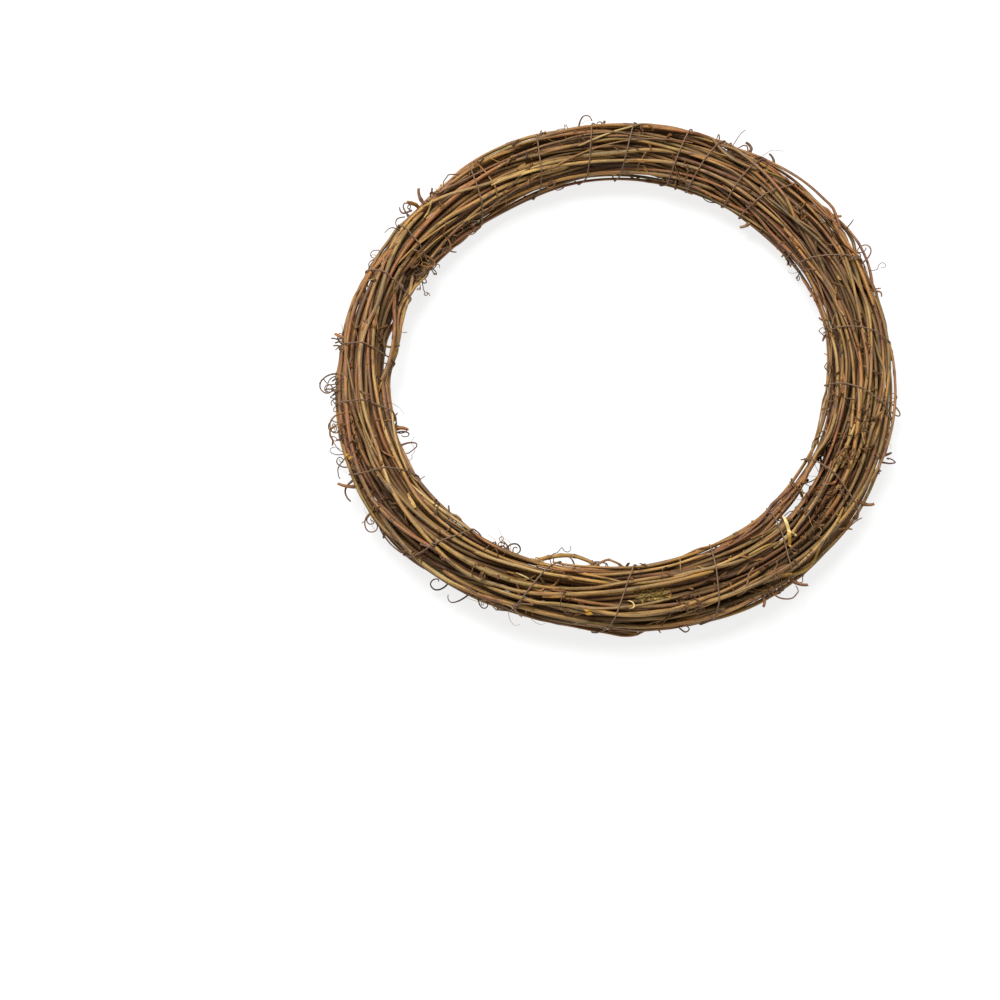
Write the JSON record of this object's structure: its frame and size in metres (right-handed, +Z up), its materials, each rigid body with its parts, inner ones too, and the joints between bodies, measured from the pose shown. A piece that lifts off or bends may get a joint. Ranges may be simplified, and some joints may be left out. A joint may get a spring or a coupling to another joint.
{
  "type": "vine wreath",
  "caption": "Round wreath of long woody vines laid round and round in a loose bundle, bound with one thin thread, with curly tendrils, stubs and loose bows.",
  "frame": {"origin": "under the middle of the whole wreath, on the surface that it rests on", "axes": "+Z up along the ring's axis, +X to the right and +Y away from the viewer in the picture"},
  "size_m": [0.313, 0.3006, 0.0374],
  "materials": {
    "bark_brown": "dry bark, slightly glossy on the ridges",
    "bark_ochre": "dry bark, slightly glossy on the ridges",
    "bark_dark": "dry bark, slightly glossy on the ridges",
    "bark_straw": "dry bark, slightly glossy on the ridges",
    "bark_olive": "dry bark, slightly glossy on the ridges",
    "thread": "matte twisted thread"
  },
  "bodies": {
    "root": {"vine_01": "bark_brown", "vine_02": "bark_ochre", "vine_03": "bark_dark", "vine_04": "bark_straw", "vine_05": "bark_olive", "vine_06": "bark_brown", "vine_07": "bark_ochre", "vine_08": "bark_dark", "vine_09": "bark_straw", "vine_10": "bark_olive", "vine_11": "bark_brown", "vine_12": "bark_ochre", "vine_13": "bark_dark", "vine_14": "bark_straw", "vine_15": "bark_olive", "binding_thread": "thread"}
  },
  "joints": []
}
